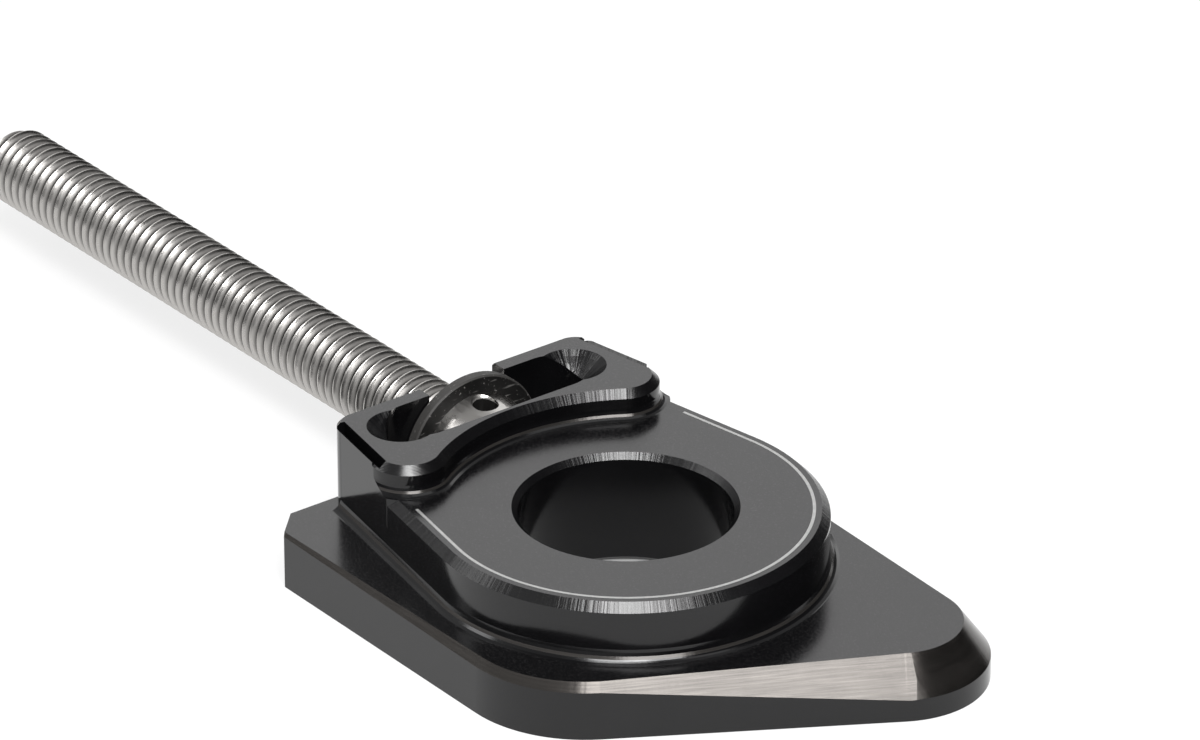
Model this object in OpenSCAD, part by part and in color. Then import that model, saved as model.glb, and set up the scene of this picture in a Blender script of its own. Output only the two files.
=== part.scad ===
// Rear axle chain adjuster: a milled block with a loose capstan-head screw and its thrust washer.
// The origin is where the axle bore's axis crosses the screw's axis.
// +X points to the nose, the screw leaves along -X, and +Z points out of the boss face.

/* [Axle bore] */
// Diameter of the axle bore
bore_d = 20.1; // [16:0.1:25]
// Chamfer at both mouths of the bore
bore_chamfer = 0.55; // [0.2:0.05:1]

/* [Plate] */
// Thickness of the plate
plate_thickness = 5.7; // [4.5:0.1:8]
// From the bore axis to the flat back face
back_reach = 26.4; // [25.5:0.1:29]
// From the bore axis to the tip of the nose
nose_reach = 32.7; // [30:0.1:38]
// From the bore axis to the straight side before the long slope
plate_left = 22.1; // [21.5:0.1:26]
// From the bore axis to the straight side that runs to the nose
plate_right = 21.6; // [21.2:0.1:26]
// Rounding of the nose
nose_radius = 9; // [6:0.5:11]
// Direction of the long slope, from the screw's direction
slope_angle = 58.9; // [56:0.1:62]
// Rounding between the left side and the long slope
corner_radius = 12.5; // [8:0.5:14]
// Cut across the two back corners
back_corner = 2.8; // [1:0.1:3.5]

/* [Bevel round the nose] */
// How far the bevel comes down the wall at the nose
nose_bevel = 3.5; // [2:0.1:4]
// How far it comes down where the long slope starts
slope_bevel = 0.85; // [0.5:0.05:1.5]
// How far it comes down at the back of the sides
side_bevel = 0.3; // [0.1:0.05:0.6]
// Angle of the bevel above the plate's face
bevel_angle = 54; // [45:1:65]

/* [Boss] */
// Height of the boss above the plate
boss_height = 5.75; // [4:0.05:7]
// Radius of the boss round the bore
boss_radius = 18.95; // [18:0.05:20.5]
// Chamfer round the top of the boss
boss_chamfer = 0.8; // [0.3:0.05:1.2]
// Cove between the boss and the plate
boss_cove = 1.2; // [0.5:0.05:1.6]

/* [Lug] */
// Height of the lug above the boss
lug_height = 2.75; // [2:0.05:3.3]
// Width of the lug at the back face
lug_width = 29.2; // [28:0.1:31]
// From the bore axis to the deepest place of the hollow front
hollow_reach = 16.9; // [16.6:0.05:17.2]
// Radius of the hollow front face
hollow_radius = 19.5; // [18:0.1:22]
// Rounding of the two front tips, which the hollow runs into
tip_radius = 3.7; // [3:0.1:4.2]
// Rounding of the back corners
lug_back_radius = 2.5; // [1:0.1:3]
// Chamfer along the hollow front
hollow_chamfer = 0.75; // [0.3:0.05:0.8]
// Chamfer along the sides and the back
lug_chamfer = 0.35; // [0.2:0.05:0.6]
// Cove between the lug and the boss face
lug_cove = 1; // [0.5:0.05:1.2]

/* [Pocket for the screw head] */
// Thickness of the wall behind the washer
back_wall = 1.9; // [1.5:0.1:2.5]
// Free length behind the hollow front, along the screw
pocket_w = 6.5; // [6.3:0.05:6.6]
// Gap between the washer and the pocket's round ends
pocket_gap = 0.4; // [0.2:0.05:0.8]
// From the screw's axis to the axis of each spot-faced end
spot_y = 10.1; // [9.8:0.1:10.4]
// Included angle of the spot-faced ends
spot_angle = 100; // [90:5:120]
// Gap on each side of the screw in its slot
slot_gap = 0.4; // [0.2:0.05:0.8]
// How far the slot's round floor lies below the screw's place
slot_drop = 0.8; // [0:0.1:1.5]

/* [Screw] */
// Nominal thread diameter
screw_d = 8; // [7:0.5:8.5]
// Length of the screw beyond the back face
screw_reach = 75; // [40:1:120]
// Amount by which the thread's crests stay under the nominal radius
crest_gap = 0.03; // [0.01:0.01:0.05]
// Diameter of the plain neck under the head
neck_d = 7.1; // [6.6:0.1:7.2]
// Length of the plain neck outside the back face
neck_out = 1; // [0.5:0.1:3]
// Chamfer at the free end
end_chamfer = 0.8; // [0.5:0.1:1.2]
// Diameter of the head at its seat
head_d = 11.6; // [10.5:0.1:12]
// Diameter of the head at its front
head_front_d = 10.6; // [9.5:0.1:10.6]
// Length of the head
head_h = 4.6; // [4.2:0.1:4.8]
// Rounding of the head's front edge
head_edge = 0.7; // [0.3:0.1:1]
// Number of tool holes round the head
hole_count = 6; // [4:1:6]
// Diameter of the tool holes
hole_d = 2.5; // [2:0.1:2.7]
// Depth of the tool holes
hole_depth = 3; // [2:0.1:3.2]
// Chamfer at the mouth of each tool hole
hole_chamfer = 0.35; // [0.1:0.05:0.4]
// From the head's seat to the axes of the tool holes
hole_x = 1.75; // [1.7:0.05:2.2]

/* [Washer] */
// Outer diameter of the washer
washer_d = 15; // [14:0.1:15]
// Thickness of the washer
washer_t = 1.2; // [0.8:0.1:1.6]
// Edge chamfer of the washer
washer_edge = 0.15; // [0.05:0.05:0.3]
// Gap between the washer's hole and the thread's nominal radius
washer_gap = 0.08; // [0.03:0.01:0.1]
// Gap between the washer's rim and the plane of the plate's underside
floor_gap = 0.1; // [0.05:0.05:0.5]

/* [Hidden] */
$fn = 96;
over = 1;
// Depth to which a cove's foot goes into the face below it
cove_dip = 0.03;
// Amount by which neighbouring surfaces stand proud of each other, so that they cross cleanly
seam = 0.01;

// Heights, from the screw's axis
floor_z = -washer_d / 2 - floor_gap;
plate_z = floor_z + plate_thickness;
boss_z = plate_z + boss_height;
lug_z = boss_z + lug_height;
total_h = lug_z - floor_z;

// Plan of the plate: each straight side is tangent to the round that it runs into
slope_out = [sin(slope_angle), -cos(slope_angle)];
slope_dir = [cos(slope_angle), sin(slope_angle)];
nose_c = [nose_reach - nose_radius, plate_right - nose_radius];
slope_offset = slope_out * nose_c + nose_radius;
slope_round_y = corner_radius - plate_left;
corner_c = [(slope_offset - corner_radius - slope_out[1] * slope_round_y) / slope_out[0], slope_round_y];
slope_start = corner_c + corner_radius * slope_out;
slope_end = nose_c + nose_radius * slope_out;
slope_length = norm(slope_end - slope_start);
left_length = corner_c[0] + back_reach;
right_length = nose_c[0] + back_reach;

// Plan of the boss: its two side walls leave the circle as tangents and end at the lug's corners
back_corner_r = norm([back_reach, lug_width / 2]);
wall_turn = atan2(back_reach, lug_width / 2) - acos(boss_radius / back_corner_r);
wall_out = [-sin(wall_turn), cos(wall_turn)];
wall_dir = [-cos(wall_turn), -sin(wall_turn)];
wall_angle = 90 + wall_turn;

// Plan of the lug: the hollow's circle, the tips and the side walls run into each other
lug_side = boss_radius + 2 * seam;
lug_back = -back_reach + 2 * seam;
hollow_c = [hollow_radius - hollow_reach, 0];
tip_offset = boss_radius - tip_radius;
hollow_offset = tip_offset - wall_out * hollow_c;
tip_back = sqrt(pow(hollow_radius + tip_radius, 2) - pow(hollow_offset, 2));
tip_c = hollow_c + hollow_offset * wall_out + tip_back * wall_dir;
tip_turn = atan2(tip_c[1], hollow_c[0] - tip_c[0]);
tip_wall_r = tip_radius + 3 * seam;
hollow_wall_r = norm(tip_c - hollow_c) - tip_wall_r + seam;
corner_x = lug_back - seam + lug_back_radius;
corner_y = (lug_side + seam - lug_back_radius - wall_out[0] * corner_x) / wall_out[1];
side_end = [corner_x, corner_y] * wall_dir;
side_front = tip_c * wall_dir - 2 * tip_radius;

// Pocket, washer and head, along the screw
seat_x = -back_reach + back_wall;
pocket_c = seat_x + pocket_w / 2;
pocket_end_y = washer_d / 2 + pocket_gap;
spot_r = pocket_w / 2;
spot_depth = spot_r / tan(spot_angle / 2);
head_seat = seat_x + washer_t;
slot_r = screw_d / 2 + slot_gap;
thread_r = screw_d / 2 - crest_gap;

// Puts a shape on both sides of the screw's plane
module both_sides() {
    children();
    mirror([0, 1, 0]) children();
}

// Ring with a chamfer's section, from one angle to another; outward rings trim a round edge
module chamfer_ring(radius, size, from, to) {
    rotate_extrude(start = from, angle = to - from)
        polygon([
            [radius - size - over, over],
            [radius + over, over],
            [radius + over, -size - over],
        ]);
}

// Bar with a chamfer's section along +X; it trims the edge of a wall whose outside is on -Y
module chamfer_bar(length, size) {
    rotate([90, 0, 90])
        linear_extrude(length)
            polygon([[size + over, over], [-over, over], [-over, -size - over]]);
}

// Points of a cove from the floor up to a wall; side is 1 where the cove lies outside the wall
function cove_curve(wall, floor_level, size, side) =
    [for (a = [0 : 15 : 90]) [
        wall + side * size * (1 - sin(a)),
        floor_level - cove_dip + (size + cove_dip) * (1 - cos(a)),
    ]];

// Carries a section along the right side wall, which it meets at its own x
module along_wall(from, to) {
    rotate([0, 0, wall_angle])
        translate([0, from, 0])
            rotate([90, 0, 0])
                mirror([0, 0, 1])
                    linear_extrude(to - from)
                        children();
}

// Half-space above a bevel that follows one side of the plate and comes down from one drop to another
module bevel_cut(start, angle, length, drop_from, drop_to) {
    reach = 40;
    translate([start[0], start[1], plate_z - drop_from])
        rotate([0, atan2(drop_to - drop_from, length), angle])
            rotate([bevel_angle, 0, 0])
                translate([-over, -over, 0])
                    cube([length + 2 * over, reach, reach]);
}

// Cone-shaped bevel round one corner of the plate
module bevel_round(centre, radius, drop, from, to) {
    inset = drop / tan(bevel_angle);
    slope = over / tan(bevel_angle);
    translate([centre[0], centre[1], plate_z])
        rotate_extrude(start = from, angle = to - from)
            polygon([
                [radius - inset, over],
                [radius + 2 * over, over],
                [radius + 2 * over, -drop - over],
                [radius + slope, -drop - over],
                [radius - inset, 0],
            ]);
}

module plate_outline() {
    polygon([
        [-back_reach, -plate_left + back_corner],
        [-back_reach + back_corner, -plate_left],
        [corner_c[0], -plate_left],
        corner_c,
        slope_start,
        slope_end,
        nose_c,
        [nose_c[0], plate_right],
        [-back_reach + back_corner, plate_right],
        [-back_reach, plate_right - back_corner],
    ]);
    translate(corner_c) circle(r = corner_radius);
    translate(nose_c) circle(r = nose_radius);
}

module plate() {
    difference() {
        translate([0, 0, floor_z]) linear_extrude(plate_thickness) plate_outline();
        bevel_cut([-back_reach, -plate_left], 0, left_length, side_bevel, slope_bevel);
        bevel_cut(slope_start, slope_angle, slope_length, slope_bevel, nose_bevel);
        bevel_cut([nose_c[0], plate_right], 180, right_length, nose_bevel, side_bevel);
        bevel_round(corner_c, corner_radius, slope_bevel, -90, slope_angle - 90);
        bevel_round(nose_c, nose_radius, nose_bevel, slope_angle - 90, 90);
    }
}

// Section of the boss, with its cove below and its chamfer above, up to a given height
module boss_section(radius, inner, top) {
    polygon(concat(
        [[inner, plate_z - over], [radius + boss_cove, plate_z - over]],
        cove_curve(radius, plate_z, boss_cove, 1),
        [[radius, boss_z - boss_chamfer], [radius - boss_chamfer + boss_z - top, top], [inner, top]]
    ));
}

module boss() {
    wall_start = -0.4;
    wall_inner = 5;
    rotate_extrude($fn = 192) boss_section(boss_radius, 0, boss_z);
    both_sides()
        along_wall(wall_start, side_end)
            boss_section(boss_radius - seam, wall_inner, boss_z - seam / 2);
}

// Plain block that the lug's front is cut from
module lug_blank() {
    front = lug_side * wall_out + side_front * wall_dir;
    back = lug_side * wall_out + side_end * wall_dir;
    inner = [corner_x + over, corner_y - over];
    translate([0, 0, plate_z - over])
        linear_extrude(lug_z - plate_z + over) {
            polygon([
                front,
                back,
                inner,
                [lug_back, corner_y],
                [lug_back, -corner_y],
                [inner[0], -inner[1]],
                [back[0], -back[1]],
                [front[0], -front[1]],
            ]);
            for (side = [-1, 1]) {
                translate([corner_x, side * corner_y]) circle(r = lug_back_radius);
            }
        }
}

// Round cutter for the hollow front, with the cove at its foot and the chamfer at its top
module hollow_cut() {
    low = boss_z - 0.2;
    translate([hollow_c[0], 0, 0])
        rotate_extrude($fn = 192)
            polygon(concat(
                [[0, low], [hollow_wall_r - lug_cove, low]],
                cove_curve(hollow_wall_r, boss_z, lug_cove, -1),
                [
                    [hollow_wall_r, lug_z - hollow_chamfer],
                    [hollow_wall_r + hollow_chamfer + over, lug_z + over],
                    [0, lug_z + over],
                ]
            ));
}

// Cutter that goes round the right front tip, from the hollow to the side wall
module tip_cut() {
    wide = 4 * tip_radius;
    low = plate_z - 2 * over;
    translate([tip_c[0], tip_c[1], 0])
        rotate_extrude(start = -tip_turn, angle = wall_angle + tip_turn)
            polygon(concat(
                [[wide, low], [tip_wall_r + lug_cove, low]],
                cove_curve(tip_wall_r, boss_z, lug_cove, 1),
                [
                    [tip_wall_r, lug_z - hollow_chamfer],
                    [tip_wall_r - hollow_chamfer - over, lug_z + over],
                    [wide, lug_z + over],
                ]
            ));
}

// Narrow chamfers along the lug's sides, round its back corners and along its back
module lug_edge_cuts() {
    size = lug_chamfer + seam;
    translate([0, 0, lug_z]) {
        both_sides() {
            translate([corner_x, corner_y, 0])
                chamfer_ring(lug_back_radius, lug_chamfer, wall_angle, 180);
            rotate([0, 0, wall_angle])
                translate([lug_side, side_end + over, 0])
                    rotate([0, 0, -90])
                        chamfer_bar(side_end - tip_c * wall_dir + 2 * over, size);
        }
        translate([lug_back, corner_y + over, 0])
            rotate([0, 0, -90])
                chamfer_bar(2 * (corner_y + over), size);
    }
}

module lug() {
    difference() {
        lug_blank();
        hollow_cut();
        both_sides() tip_cut();
        lug_edge_cuts();
    }
}

module axle_bore() {
    translate([0, 0, floor_z - over]) cylinder(h = total_h + 2 * over, d = bore_d, $fn = 192);
    bore_mouth(boss_z);
    mirror([0, 0, 1]) bore_mouth(-floor_z);
}

module bore_mouth(z) {
    translate([0, 0, z - bore_chamfer])
        cylinder(h = bore_chamfer + over, d1 = bore_d, d2 = bore_d + 2 * (bore_chamfer + over), $fn = 192);
}

// Pocket with round ends, milled right through, and a cone at the top of each end
module head_pocket() {
    translate([0, 0, floor_z - over]) linear_extrude(total_h + 2 * over) {
        both_sides() translate([pocket_c, pocket_end_y]) circle(d = pocket_w);
        translate([pocket_c, 0]) square([pocket_w, 2 * pocket_end_y], center = true);
    }
    both_sides()
        translate([pocket_c, spot_y, lug_z - spot_depth])
            cylinder(h = spot_depth + over, r1 = 0, r2 = spot_r * (spot_depth + over) / spot_depth);
}

// Slot for the screw through the back wall, open at the top
module screw_slot() {
    translate([-back_reach - over, 0, -slot_drop]) {
        rotate([0, 90, 0]) cylinder(h = back_wall + 2 * over, r = slot_r);
        translate([0, -slot_r, 0]) cube([back_wall + 2 * over, 2 * slot_r, total_h]);
    }
}

module adjuster_block() {
    color([0.08, 0.08, 0.09])
        difference() {
            union() {
                plate();
                boss();
                lug();
            }
            axle_bore();
            head_pocket();
            screw_slot();
        }
}

// Section of the screw, from its axis outwards, with its length along +Y from the head's front
module screw_section() {
    head_r = head_d / 2;
    front_r = head_front_d / 2;
    neck_y = head_h + washer_t + back_wall + neck_out;
    end_y = head_h + washer_t + back_wall + screw_reach;
    polygon([
        [0, 0],
        [front_r - head_edge, 0],
        [front_r - head_edge * (1 - sin(45)), head_edge * (1 - sin(45))],
        [front_r, head_edge],
        [head_r, head_h],
        [neck_d / 2, head_h],
        [neck_d / 2, neck_y],
        [thread_r, neck_y],
        [thread_r, end_y - end_chamfer],
        [thread_r - end_chamfer, end_y],
        [0, end_y],
    ]);
}

module tool_hole() {
    translate([hole_x, 0, head_d / 2 - hole_depth]) cylinder(h = hole_depth + over, d = hole_d, $fn = 48);
    translate([hole_x, 0, head_d / 2 - hole_chamfer])
        cylinder(
            h = hole_chamfer + over,
            d1 = hole_d,
            d2 = hole_d + 2 * (hole_chamfer + over),
            $fn = 48
        );
}

module adjuster_screw() {
    color([0.75, 0.75, 0.74])
        translate([head_seat, 0, 0])
            difference() {
                translate([head_h, 0, 0]) rotate([0, -90, 0]) rotate_extrude() screw_section();
                for (i = [0 : hole_count - 1]) {
                    rotate([i * 360 / hole_count, 0, 0]) tool_hole();
                }
            }
}

module thrust_washer() {
    outer_r = washer_d / 2;
    inner_r = screw_d / 2 + washer_gap;
    color([0.1, 0.1, 0.1])
        translate([seat_x, 0, 0])
            rotate([0, 90, 0])
                rotate_extrude()
                    polygon([
                        [inner_r, 0],
                        [outer_r - washer_edge, 0],
                        [outer_r, washer_edge],
                        [outer_r, washer_t - washer_edge],
                        [outer_r - washer_edge, washer_t],
                        [inner_r, washer_t],
                    ]);
}

adjuster_block();
adjuster_screw();
thrust_washer();
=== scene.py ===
import math

import bmesh
import bpy
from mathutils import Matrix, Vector


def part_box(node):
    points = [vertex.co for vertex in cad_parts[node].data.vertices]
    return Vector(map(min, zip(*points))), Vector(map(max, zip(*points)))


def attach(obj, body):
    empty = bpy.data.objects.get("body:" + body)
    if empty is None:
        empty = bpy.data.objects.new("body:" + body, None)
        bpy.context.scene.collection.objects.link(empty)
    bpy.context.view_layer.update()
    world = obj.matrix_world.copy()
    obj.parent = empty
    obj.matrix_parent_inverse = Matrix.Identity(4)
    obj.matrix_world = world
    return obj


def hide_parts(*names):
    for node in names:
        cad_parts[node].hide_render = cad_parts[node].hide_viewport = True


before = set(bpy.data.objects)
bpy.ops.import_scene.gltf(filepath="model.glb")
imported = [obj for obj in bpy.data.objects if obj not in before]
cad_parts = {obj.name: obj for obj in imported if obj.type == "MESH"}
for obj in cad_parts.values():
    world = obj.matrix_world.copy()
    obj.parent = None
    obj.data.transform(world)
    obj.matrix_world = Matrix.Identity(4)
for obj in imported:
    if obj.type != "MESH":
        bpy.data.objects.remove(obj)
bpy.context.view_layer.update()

MM = 0.001

# Boxes of the solids
BLOCK_LOW, BLOCK_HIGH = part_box("adjuster_block")
WASHER_LOW, WASHER_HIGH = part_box("thrust_washer")
SCREW_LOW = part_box("adjuster_screw")[0]

# Block
BACK_REACH = -BLOCK_LOW.x
LUG_HEIGHT = 2.75 * MM
LUG_HALF_WIDTH = 14.6 * MM
BOSS_Z = BLOCK_HIGH.z - LUG_HEIGHT
BOSS_R = 18.95 * MM
BORE_R = 10.05 * MM
# The boss's side walls leave its circle as tangents and end at the lug's back corners
BACK_CORNER_R = math.hypot(BACK_REACH, LUG_HALF_WIDTH)
WALL_TURN = math.atan2(BACK_REACH, LUG_HALF_WIDTH) - math.acos(BOSS_R / BACK_CORNER_R)

# Engraved line on the boss face
LINE_R = 17.42 * MM
LINE_WIDTH = 0.3 * MM
LINE_END_X = -11.3 * MM
LINE_RISE = 0.012 * MM
LINE_SINK = 0.05 * MM
LINE_STEPS = 96
# Corners of its section: the side of the path, and the height above the boss face
LINE_SECTION = [(-1, -LINE_SINK), (-1, LINE_RISE), (1, LINE_RISE), (1, -LINE_SINK)]

# Faces of the block by the height of their normal: from where a face counts as level, and for the
# chamfers, the bevel round the nose and the pocket's cones the height and how far off it still counts
LEVEL_NORMAL_Z = (0.985, 0.999)
CHAMFER_NORMAL_Z = (math.cos(math.radians(45)), 0.05)
BEVEL_NORMAL_Z = (math.cos(math.radians(54)), 0.03)
CONE_NORMAL_Z = (math.sin(math.radians(50)), 0.02)
# Heights of the cutter's marks on those faces, where the grain's is 1
BEVEL_MARKS = 4.0
CHAMFER_MARKS = 14.0
CONE_MARKS = 60.0

# Pocket: its middle along the screw, and how far its cones lie from the screw's axis
POCKET_X = WASHER_LOW.x + 3.25 * MM
SPOT_Y = 10.1 * MM

# Washer: the radius from which its rim is painted brighter as a highlight, and the width over which it gets
# so
WASHER_RIM_R = 7.3 * MM
WASHER_RIM_EDGE = 0.06 * MM

# Head of the screw: its radius at the seat, how it narrows towards its front, and where its holes lie
HEAD_SEAT_X = WASHER_HIGH.x
HEAD_R = 5.8 * MM
HEAD_TAPER = 0.128
HOLES_FROM_X = HEAD_SEAT_X + 0.2 * MM
HOLES_TO_X = HEAD_SEAT_X + 3.4 * MM
# Painted shade in a hole comes in from the first of these depths below the head's surface and is full at
# the second
HOLE_SHADE_FROM_DEPTH = 0.16 * MM
HOLE_SHADE_FULL_DEPTH = 0.3 * MM

# Screw thread, M8 x 1.25
PITCH = 1.25 * MM
CREST_R = 3.97 * MM
CREST_EDGE_R = 3.94 * MM
FLANK_FOOT_R = 3.3 * MM
ROOT_R = 3.24 * MM
NECK_R = 3.55 * MM
THREAD_START_X = BLOCK_LOW.x - 1 * MM
THREAD_END_X = SCREW_LOW.x
END_CHAMFER = 0.8 * MM
THREAD_SEGMENTS = 64
# Turns beyond the shank's length, so that the slanted rows reach both of its ends
SPARE_TURNS = 2
# Each point of the thread's section: its place along one pitch, and its radius
THREAD_SECTION = [
    (-0.0625, CREST_EDGE_R),
    (-0.03, CREST_R),
    (0.03, CREST_R),
    (0.0625, CREST_EDGE_R),
    (0.4165, FLANK_FOOT_R),
    (0.46, ROOT_R),
    (0.54, ROOT_R),
    (0.5835, FLANK_FOOT_R),
]
# Painted shade on the thread comes in from the first of these radii and is full at the second
THREAD_SHADE_FROM_R = 3.8 * MM
THREAD_SHADE_FULL_R = 3.36 * MM
# The solid is cut off this far before the helix starts, and the gap is bridged
NECK_CUT = 0.02 * MM
# Edges that turn by more degrees than this stay sharp
SHARP_ANGLE = 15

# Distances within which points are one point, and within which a cut meets a point
SAME_POINT = 1e-7
ON_CUT = 1e-6

# Length over which one finish of the screw goes over into another
SOFT_EDGE = 0.2 * MM
# Part of a noise's range that holds most of its values
NOISE_MIDDLE = (0.3, 0.7)

# Colours
ANODISED_DARK = (0.002, 0.002, 0.0022, 1)
ANODISED_LIGHT = (0.0045, 0.0044, 0.005, 1)
GRAIN_COLOR = (0.074, 0.072, 0.074, 1)
BEVEL_COLOR = (0.096, 0.089, 0.083, 1)
STEEL_DARK = (0.42, 0.405, 0.39, 1)
STEEL_LIGHT = (0.54, 0.525, 0.505, 1)
# Painted shade, for the thread's roots and the insides of the tool holes
PAINTED_SHADE_COLOR = (0.003, 0.0028, 0.0026, 1)
WASHER_DARK = (0.003, 0.003, 0.003, 1)
WASHER_LIGHT = (0.013, 0.0125, 0.012, 1)
SCRATCH_COLOR = (0.32, 0.31, 0.30, 1)
# Painted highlight on the washer's rim
RIM_HIGHLIGHT_COLOR = (0.14, 0.135, 0.13, 1)
ALUMINIUM_DARK = (0.3, 0.3, 0.3, 1)
ALUMINIUM_LIGHT = (0.62, 0.62, 0.61, 1)
FLOOR_COLOR = (0.9, 0.9, 0.9, 1)
# Painted shadow: the floor is coloured darker inside the bore
BORE_SHADOW_COLOR = (0.3, 0.3, 0.3, 1)

# Floor
FLOOR_SIZE = 4.0
FLOOR_GAP = 0.02 * MM
BORE_SHADOW_EDGE = 2 * MM
# Share of plain white in what the camera and the reflections see of the floor
WHITE_SHARE = 0.78

# Sky of the studio: sine of the elevation, and brightness there
SKY = [(0.0, 0.1), (0.12, 0.1), (0.3, 0.5), (0.75, 0.5), (0.92, 0.25)]
# Direction of the studio's dark side, how squarely a ray faces it, and what is left of the sky there
DARK_SIDE = (0.77, 0.64, 0.0)
DARK_FACING = (0.15, 0.6)
DARK_LEVEL = 0.06

# Soft boxes: name, direction, distance, width, height, and brightness where a white paper is 1
LAMPS = [
    ("key_light", (0.59, -0.23, 0.77), 0.6, 0.3, 0.34, 10),
    ("top_light", (0.2, 0.25, 0.93), 0.6, 0.3, 0.3, 1.0),
    ("left_light", (-0.603, -0.52, 0.604), 0.6, 0.12, 0.25, 3.8),
    ("ring_light", (0.34, -0.31, 0.885), 0.6, 0.22, 0.22, 13),
    ("back_light", (-0.70, 0.54, 0.46), 0.9, 0.9, 0.5, 1.0),
]

# Camera: direction from the object to the camera, as azimuth and elevation, and its place
CAMERA_AZIMUTH = 52.29
CAMERA_ELEVATION = 27.56
CAMERA_PLACE = (0.5067, -0.3948, 0.35325)
SENSOR_WIDTH = 36
FOCAL_LENGTH = 237.3
CLIP_START = 0.01


# Objects and meshes

def add_object(name, mesh):
    thing = bpy.data.objects.new(name, mesh)
    bpy.context.scene.collection.objects.link(thing)
    return thing


def mesh_from(name, points, faces):
    mesh = bpy.data.meshes.new(name)
    mesh.from_pydata(points, [], faces)
    mesh.validate()
    return mesh


def turn_faces_outward(mesh):
    bm = bmesh.new()
    bm.from_mesh(mesh)
    bmesh.ops.recalc_face_normals(bm, faces=bm.faces)
    bm.to_mesh(mesh)


def open_edges(bm):
    return [edge for edge in bm.edges if edge.is_boundary]


def merge_points(bm):
    bmesh.ops.remove_doubles(bm, verts=bm.verts, dist=SAME_POINT)


def dress(thing, material):
    thing.data.materials.clear()
    thing.data.materials.append(material)


# Node helpers

class Nodes:
    """Short calls for building one node tree."""

    def __init__(self, tree):
        self.tree = tree
        tree.nodes.clear()

    def add(self, kind, **values):
        node = self.tree.nodes.new(kind)
        for key, value in values.items():
            setattr(node, key, value)
        return node

    def link(self, source, target):
        self.tree.links.new(source, target)

    def feed(self, node, index, value):
        """Link a socket to an input, or set the input to a plain value."""
        if isinstance(value, bpy.types.NodeSocket):
            self.link(value, node.inputs[index])
        else:
            node.inputs[index].default_value = value

    def feed_all(self, node, values):
        for index, value in enumerate(values):
            self.feed(node, index, value)

    def math(self, operation, *values, clamp=False):
        node = self.add("ShaderNodeMath", operation=operation, use_clamp=clamp)
        self.feed_all(node, values)
        return node.outputs[0]

    def plus(self, first, second, clamp=False):
        return self.math("ADD", first, second, clamp=clamp)

    def minus(self, first, second):
        return self.math("SUBTRACT", first, second)

    def times(self, first, second):
        return self.math("MULTIPLY", first, second)

    def larger(self, first, second):
        return self.math("MAXIMUM", first, second)

    def reach(self, first, second):
        """Length of the line that has these two lengths as its parts."""
        return self.math("SQRT", self.plus(self.times(first, first), self.times(second, second)))

    def vector_math(self, operation, *values):
        node = self.add("ShaderNodeVectorMath", operation=operation)
        self.feed_all(node, values)
        return node

    def bearing(self, x, y):
        """Direction of a place seen from the Z axis, as a unit vector."""
        return self.vector_math("NORMALIZE", self.join(x, y, 0.0)).outputs[0]

    def place(self):
        return self.add("ShaderNodeTexCoord").outputs["Object"]

    def normal(self):
        return self.add("ShaderNodeTexCoord").outputs["Normal"]

    def parts(self, vector):
        node = self.add("ShaderNodeSeparateXYZ")
        self.link(vector, node.inputs[0])
        return node.outputs[0], node.outputs[1], node.outputs[2]

    def join(self, x, y, z):
        node = self.add("ShaderNodeCombineXYZ")
        self.feed_all(node, (x, y, z))
        return node.outputs[0]

    def noise(self, vector, scale, detail):
        """Noise of that many waves a metre where the vector is a place."""
        node = self.add("ShaderNodeTexNoise")
        self.link(vector, node.inputs["Vector"])
        node.inputs["Scale"].default_value = scale
        node.inputs["Detail"].default_value = detail
        node.inputs["Roughness"].default_value = 0.55
        return node.outputs["Fac"]

    def remap(self, value, source, target=(0.0, 1.0)):
        """Turn the source range into the target range, and stay within it."""
        node = self.add("ShaderNodeMapRange")
        self.link(value, node.inputs["Value"])
        node.inputs["From Min"].default_value = source[0]
        node.inputs["From Max"].default_value = source[1]
        node.inputs["To Min"].default_value = target[0]
        node.inputs["To Max"].default_value = target[1]
        return node.outputs[0]

    def near(self, value, centre, width):
        """1 where the value is at the centre, 0 from the width away."""
        gap = self.math("ABSOLUTE", self.minus(value, centre))
        return self.remap(gap, (width, 0.0))

    def mix(self, factor, first, second):
        node = self.add("ShaderNodeMix", data_type="FLOAT")
        self.feed(node, 0, factor)
        self.feed(node, 2, first)
        self.feed(node, 3, second)
        return node.outputs[0]

    def mix_color(self, factor, first, second):
        node = self.add("ShaderNodeMix", data_type="RGBA")
        self.feed(node, 0, factor)
        self.feed(node, 6, first)
        self.feed(node, 7, second)
        return node.outputs[2]

    def mix_shader(self, factor, first, second):
        node = self.add("ShaderNodeMixShader")
        self.feed_all(node, (factor, first, second))
        return node.outputs[0]

    def bump(self, height, strength, distance):
        node = self.add("ShaderNodeBump")
        self.link(height, node.inputs["Height"])
        node.inputs["Strength"].default_value = strength
        node.inputs["Distance"].default_value = distance
        return node.outputs["Normal"]

    def end(self, shader, kind="ShaderNodeOutputMaterial"):
        self.link(shader, self.add(kind).inputs[0])

    def principled(self, **values):
        """Shader whose inputs are named as in Blender, with _ for a space."""
        shader = self.add("ShaderNodeBsdfPrincipled")
        for key, value in values.items():
            self.feed(shader, key.replace("_", " "), value)
        self.end(shader.outputs[0])


def new_material(name):
    material = bpy.data.materials.new(name)
    material.use_nodes = True
    return material, Nodes(material.node_tree)


# Materials

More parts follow.
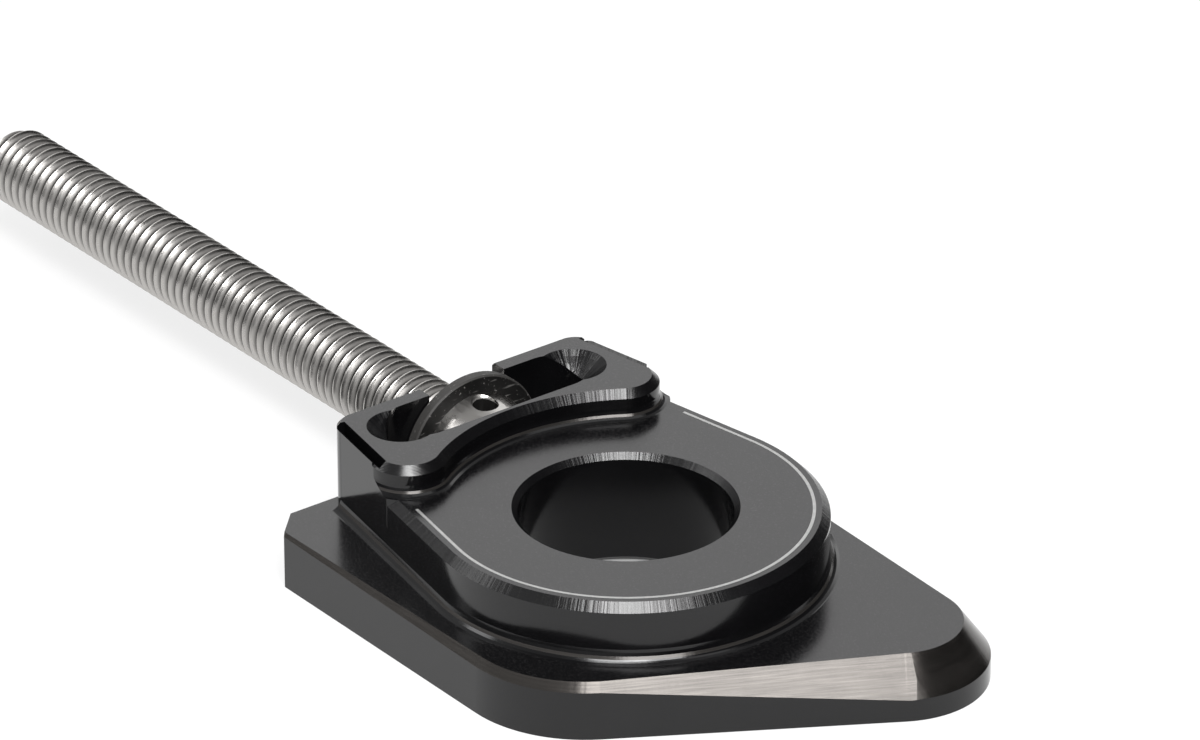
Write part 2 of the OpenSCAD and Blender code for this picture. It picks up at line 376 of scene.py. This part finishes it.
def black_anodised():
    material, n = new_material("black_anodised")
    place = n.place()
    x, y, z = n.parts(place)
    normal_z = n.parts(n.normal())[2]
    cloud = n.noise(place, scale=180.0, detail=4.0)
    grain = n.noise(place, scale=4200.0, detail=2.0)
    level = n.remap(normal_z, LEVEL_NORMAL_Z)
    chamfer = n.near(normal_z, *CHAMFER_NORMAL_Z)
    bevel = n.near(normal_z, *BEVEL_NORMAL_Z)
    cone = n.near(normal_z, *CONE_NORMAL_Z)

    # The cutter's marks turn about its axis: the bore's for the chamfers, the cone's own for the cones
    ticks = n.noise(n.bearing(x, y), scale=50.0, detail=4.0)
    cone_x = n.minus(x, POCKET_X)
    cone_y = n.minus(n.math("ABSOLUTE", y), SPOT_Y)
    fan = n.noise(n.bearing(cone_x, cone_y), scale=4.5, detail=3.0)

    # Fine lines along the bevel: the noise is drawn out in the plane of the plate
    stretch = 0.02
    drawn_out = n.join(n.times(x, stretch), n.times(y, stretch), z)
    lines = n.noise(drawn_out, scale=9000.0, detail=3.0)
    worn = n.times(bevel, n.remap(lines, (0.25, 0.8), (0.55, 1.0)))
    speckle = n.times(level, n.remap(grain, (0.56, 0.62)))

    color = n.mix_color(cloud, ANODISED_DARK, ANODISED_LIGHT)
    color = n.mix_color(speckle, color, GRAIN_COLOR)
    color = n.mix_color(worn, color, BEVEL_COLOR)

    rough = n.remap(cloud, NOISE_MIDDLE, (0.10, 0.15))
    rough = n.plus(rough, n.times(level, n.remap(grain, NOISE_MIDDLE, (0.02, 0.12))))
    rough = n.plus(rough, n.times(bevel, 0.07))
    rough = n.plus(rough, n.times(n.plus(chamfer, cone), 0.1))

    height = n.mix(0.5, grain, cloud)
    height = n.mix(bevel, height, n.plus(lines, n.times(ticks, BEVEL_MARKS)))
    height = n.mix(chamfer, height, n.times(ticks, CHAMFER_MARKS))
    height = n.mix(cone, height, n.times(fan, CONE_MARKS))
    n.principled(
        Base_Color=color,
        Metallic=n.larger(speckle, n.times(bevel, 0.92)),
        Roughness=rough,
        IOR=1.47,
        Normal=n.bump(height, strength=0.2, distance=0.02 * MM),
    )
    return material


def stainless():
    material, n = new_material("stainless")
    place = n.place()
    x, y, z = n.parts(place)
    radius = n.reach(y, z)
    cloud = n.noise(place, scale=260.0, detail=5.0)
    streak = n.noise(n.join(x, radius, 0.0), scale=7000.0, detail=2.0)

    # The thread's roots get painted shade: their colour is made dark
    on_shank = n.remap(x, (THREAD_START_X, THREAD_START_X + SOFT_EDGE), (1.0, 0.0))
    root_shade = n.times(n.remap(radius, (THREAD_SHADE_FROM_R, THREAD_SHADE_FULL_R)), on_shank)

    # So do the tool holes, which get painted shade below the chamfers at their mouths
    behind_holes = n.remap(x, (HOLES_FROM_X, HOLES_FROM_X + SOFT_EDGE))
    before_front = n.remap(x, (HOLES_TO_X - SOFT_EDGE, HOLES_TO_X), (1.0, 0.0))
    head_surface = n.minus(HEAD_R, n.times(n.minus(x, HEAD_SEAT_X), HEAD_TAPER))
    deep = n.remap(n.minus(head_surface, radius), (HOLE_SHADE_FROM_DEPTH, HOLE_SHADE_FULL_DEPTH))
    hole_shade = n.times(deep, n.times(behind_holes, before_front))
    painted_shade = n.larger(root_shade, hole_shade)

    color = n.mix_color(cloud, STEEL_DARK, STEEL_LIGHT)
    # Painted shade: roots and holes take a near-black colour and lose their metal
    color = n.mix_color(n.times(painted_shade, 0.99), color, PAINTED_SHADE_COLOR)
    rough = n.plus(n.remap(cloud, NOISE_MIDDLE, (0.2, 0.34)), n.times(painted_shade, 0.2))
    n.principled(
        Base_Color=color,
        Metallic=n.mix(painted_shade, 1.0, 0.0),
        Roughness=rough,
        Specular_IOR_Level=0.02,
        Normal=n.bump(streak, strength=0.25, distance=0.02 * MM),
    )
    return material


def black_washer():
    material, n = new_material("black_washer")
    place = n.place()
    x, y, z = n.parts(place)
    radius = n.reach(y, z)
    cloud = n.noise(place, scale=420.0, detail=5.0)
    specks = n.remap(n.noise(place, scale=3200.0, detail=3.0), (0.66, 0.72))
    stretch = 0.12
    drawn_out = n.join(x, n.times(y, stretch), z)
    scratches = n.remap(n.noise(drawn_out, scale=2600.0, detail=2.0), (0.64, 0.7))
    rim_highlight = n.remap(radius, (WASHER_RIM_R, WASHER_RIM_R + WASHER_RIM_EDGE))

    color = n.mix_color(cloud, WASHER_DARK, WASHER_LIGHT)
    bright = n.larger(n.times(specks, 0.8), n.times(scratches, 0.35))
    color = n.mix_color(bright, color, SCRATCH_COLOR)
    # Painted highlight: the rim's colour is made lighter
    color = n.mix_color(n.times(rim_highlight, 0.25), color, RIM_HIGHLIGHT_COLOR)
    n.principled(
        Base_Color=color,
        Roughness=n.remap(cloud, NOISE_MIDDLE, (0.42, 0.62)),
        IOR=1.34,
        Normal=n.bump(n.mix(0.5, cloud, scratches), strength=0.5, distance=0.04 * MM),
    )
    return material


def bare_aluminium():
    material, n = new_material("bare_aluminium")
    cloud = n.noise(n.place(), scale=1500.0, detail=3.0)
    n.principled(
        Base_Color=n.mix_color(cloud, ALUMINIUM_DARK, ALUMINIUM_LIGHT),
        Metallic=0.8,
        Roughness=n.remap(cloud, NOISE_MIDDLE, (0.4, 0.55)),
    )
    return material


# Screw: the head and the neck keep the solid's form, and the shank gets its helix

def shank_limit(x):
    """Largest radius of the threaded shank at a place along it: both of its ends are chamfered."""
    at_free_end = CREST_R - END_CHAMFER + (x - THREAD_END_X)
    at_neck = NECK_R + (THREAD_START_X - x)
    return min(CREST_R, at_free_end, at_neck)


def thread_point(turn, along, section_r, part):
    """One point of the helix: its turn, its place and radius in the section, and its part of the circle."""
    x = THREAD_END_X + (turn + along + part - 1) * PITCH
    x = min(max(x, THREAD_END_X), THREAD_START_X)
    # The thread runs out to its crest within the last pitch before the neck
    runout = max(1.0 - (THREAD_START_X - x) / PITCH, 0.0)
    radius = min(section_r + runout * (CREST_R - section_r), shank_limit(x))
    angle = part * math.tau
    return (x, radius * math.cos(angle), radius * math.sin(angle))


def thread_grid(bm):
    """Rows of points that follow the helix, one row for each point of the section in each turn."""
    turns = math.ceil((THREAD_START_X - THREAD_END_X) / PITCH) + SPARE_TURNS
    rows = []
    for turn in range(turns):
        for along, section_r in THREAD_SECTION:
            row = []
            for segment in range(THREAD_SEGMENTS):
                part = segment / THREAD_SEGMENTS
                row.append(bm.verts.new(thread_point(turn, along, section_r, part)))
            rows.append(row)
    return rows


def threaded_shank():
    """Shank that is closed at its free end and open at the neck."""
    bm = bmesh.new()
    rows = thread_grid(bm)
    per_turn = len(THREAD_SECTION)
    for row in range(len(rows) - 1):
        for segment in range(THREAD_SEGMENTS):
            # The row goes on in the next turn after its last segment
            jump, after = divmod(segment + 1, THREAD_SEGMENTS)
            next_row = row + jump * per_turn
            if next_row + 1 < len(rows):
                bm.faces.new((
                    rows[row][segment],
                    rows[next_row][after],
                    rows[next_row + 1][after],
                    rows[row + 1][segment],
                ))
    merge_points(bm)
    bmesh.ops.dissolve_degenerate(bm, edges=bm.edges, dist=SAME_POINT)
    loose = [vert for vert in bm.verts if not vert.link_faces]
    bmesh.ops.delete(bm, geom=loose, context="VERTS")
    end_ring = [edge for edge in open_edges(bm) if edge.verts[0].co.x < THREAD_END_X + ON_CUT]
    bmesh.ops.edgeloop_fill(bm, edges=end_ring)
    return bm


def head_and_neck():
    bm = bmesh.new()
    bm.from_mesh(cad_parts["adjuster_screw"].data)
    merge_points(bm)
    bmesh.ops.bisect_plane(
        bm,
        geom=bm.verts[:] + bm.edges[:] + bm.faces[:],
        dist=ON_CUT,
        plane_co=(THREAD_START_X + NECK_CUT, 0, 0),
        plane_no=(1, 0, 0),
        clear_inner=True,
    )
    return bm


def make_screw():
    bm = head_and_neck()
    shank = bpy.data.meshes.new("shank")
    threaded_shank().to_mesh(shank)
    bm.from_mesh(shank)
    bpy.data.meshes.remove(shank)
    bmesh.ops.bridge_loops(bm, edges=open_edges(bm))
    bmesh.ops.recalc_face_normals(bm, faces=bm.faces)
    mesh = bpy.data.meshes.new("tension_screw")
    bm.to_mesh(mesh)
    mesh.polygons.foreach_set("use_smooth", [True] * len(mesh.polygons))
    mesh.set_sharp_from_angle(angle=math.radians(SHARP_ANGLE))
    screw = add_object("tension_screw", mesh)
    dress(screw, stainless())
    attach(screw, "screw")
    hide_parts("adjuster_screw")


# Engraved line

def line_path():
    """Points of the line's middle, as (point, outward direction), from the left end to the right one."""
    wall_out = Vector((-math.sin(WALL_TURN), math.cos(WALL_TURN)))
    wall_along = Vector((math.cos(WALL_TURN), math.sin(WALL_TURN)))
    tangent = wall_out * LINE_R
    end = tangent - wall_along * ((tangent.x - LINE_END_X) / wall_along.x)
    path = [(Vector((end.x, -end.y)), Vector((wall_out.x, -wall_out.y)))]
    last = math.pi / 2 + WALL_TURN
    for step in range(LINE_STEPS + 1):
        angle = -last + step * 2 * last / LINE_STEPS
        outward = Vector((math.cos(angle), math.sin(angle)))
        path.append((outward * LINE_R, outward))
    path.append((end, wall_out))
    return path


def make_line():
    corners = len(LINE_SECTION)
    points = []
    for point, outward in line_path():
        for side, rise in LINE_SECTION:
            spot = point + outward * side * LINE_WIDTH / 2
            points.append((spot.x, spot.y, BOSS_Z + rise))
    last_row = len(points) - corners
    faces = [tuple(reversed(range(corners))), tuple(range(last_row, last_row + corners))]
    for first in range(0, last_row, corners):
        for corner in range(corners):
            after = (corner + 1) % corners
            faces.append((
                first + corner,
                first + after,
                first + corners + after,
                first + corners + corner,
            ))
    line = add_object("engraved_line", mesh_from("engraved_line", points, faces))
    turn_faces_outward(line.data)
    dress(line, bare_aluminium())
    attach(line, "block")


# Stage, light and camera

def seen_directly(n):
    """1 for the rays that the camera, gloss or glass send out."""
    path = n.add("ShaderNodeLightPath")
    camera_or_gloss = n.plus(path.outputs["Is Camera Ray"], path.outputs["Is Glossy Ray"])
    return n.plus(camera_or_gloss, path.outputs["Is Transmission Ray"], clamp=True)


def pale_floor():
    material, n = new_material("pale_floor")
    x, y, z = n.parts(n.place())
    outside_bore = n.remap(n.reach(x, y), (BORE_R, BORE_R + BORE_SHADOW_EDGE))
    white = n.add("ShaderNodeEmission")
    white.inputs["Strength"].default_value = 1.0
    matt = n.add("ShaderNodeBsdfDiffuse")
    # Painted shadow: the floor's colour is darker inside the bore
    n.link(n.mix_color(outside_bore, BORE_SHADOW_COLOR, FLOOR_COLOR), matt.inputs["Color"])
    share = n.times(n.times(seen_directly(n), WHITE_SHARE), outside_bore)
    upper = n.mix_shader(share, matt.outputs[0], white.outputs[0])
    # The floor's lower side is clear, so that the object's underside can be looked at
    clear = n.add("ShaderNodeBsdfTransparent")
    lower_side = n.add("ShaderNodeNewGeometry").outputs["Backfacing"]
    n.end(n.mix_shader(lower_side, upper, clear.outputs[0]))
    return material


def add_floor():
    half = FLOOR_SIZE / 2
    low = BLOCK_LOW.z - FLOOR_GAP
    corners = [(-half, -half, low), (half, -half, low), (half, half, low), (-half, half, low)]
    floor = add_object("floor", mesh_from("floor", corners, [(0, 1, 2, 3)]))
    dress(floor, pale_floor())


def set_world():
    world = bpy.data.worlds.new("studio")
    world.use_nodes = True
    bpy.context.scene.world = world
    n = Nodes(world.node_tree)
    direction = n.add("ShaderNodeTexCoord").outputs["Generated"]
    sky = n.add("ShaderNodeValToRGB")
    n.link(n.parts(direction)[2], sky.inputs[0])
    ramp = sky.color_ramp.elements
    while len(ramp) < len(SKY):
        ramp.new(1.0)
    for element, (height, brightness) in zip(ramp, SKY):
        element.position = height
        element.color = (brightness, brightness, brightness, 1)
    facing = n.vector_math("DOT_PRODUCT", direction, DARK_SIDE).outputs["Value"]
    background = n.add("ShaderNodeBackground")
    n.link(sky.outputs[0], background.inputs["Color"])
    n.link(n.remap(facing, DARK_FACING, (1.0, DARK_LEVEL)), background.inputs["Strength"])
    n.end(background.outputs[0], "ShaderNodeOutputWorld")


def add_lamp(name, direction, distance, width, height, brightness):
    """Soft box that looks at the origin."""
    lamp = bpy.data.lights.new(name, "AREA")
    lamp.shape = "RECTANGLE"
    lamp.size = width
    lamp.size_y = height
    lamp.energy = brightness * math.pi * width * height
    thing = add_object(name, lamp)
    way = Vector(direction).normalized()
    thing.location = way * distance
    thing.rotation_euler = way.to_track_quat("Z", "Y").to_euler()


def add_camera():
    camera = bpy.data.cameras.new("camera")
    camera.sensor_width = SENSOR_WIDTH
    camera.lens = FOCAL_LENGTH
    camera.clip_start = CLIP_START
    thing = add_object("camera", camera)
    thing.location = CAMERA_PLACE
    thing.rotation_euler = (math.radians(90 - CAMERA_ELEVATION), 0, math.radians(CAMERA_AZIMUTH))
    bpy.context.scene.camera = thing


dress(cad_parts["adjuster_block"], black_anodised())
dress(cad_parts["thrust_washer"], black_washer())
make_screw()
make_line()
add_floor()
set_world()
for lamp_row in LAMPS:
    add_lamp(*lamp_row)
add_camera()
bpy.context.scene.view_settings.view_transform = "Standard"
